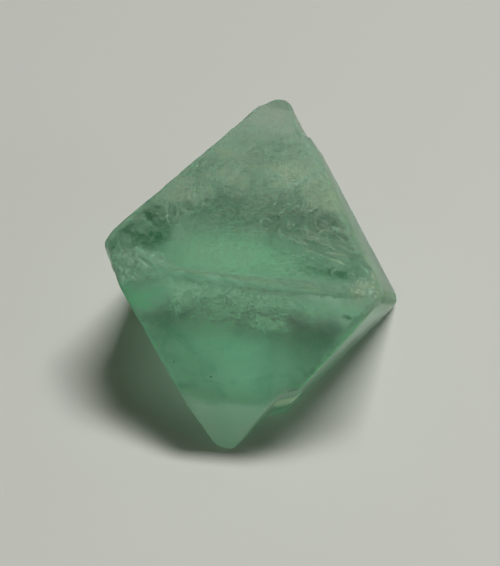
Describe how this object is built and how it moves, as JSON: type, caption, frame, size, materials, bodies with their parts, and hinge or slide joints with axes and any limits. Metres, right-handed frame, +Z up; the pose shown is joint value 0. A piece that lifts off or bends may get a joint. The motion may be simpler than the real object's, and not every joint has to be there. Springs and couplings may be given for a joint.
{
  "type": "fluorite octahedron",
  "caption": "Green see-through cleaved mineral crystal in the shape of an octahedron, with blunted corners and worn edges, lying on one face.",
  "frame": {"origin": "on the surface that the crystal rests on, under the middle of its bounding box", "axes": "+Z up, out of the level top face; +X along the front top edge, from the left corner to the right corner; +Y away from that edge, towards the far top corner"},
  "size_m": [0.0244, 0.026, 0.0204],
  "materials": {
    "fluorite": "cleaved and worn, satin, with frosted edges and cloudy veils inside"
  },
  "bodies": {
    "root": {"fluorite_octahedron": "fluorite"}
  },
  "joints": []
}
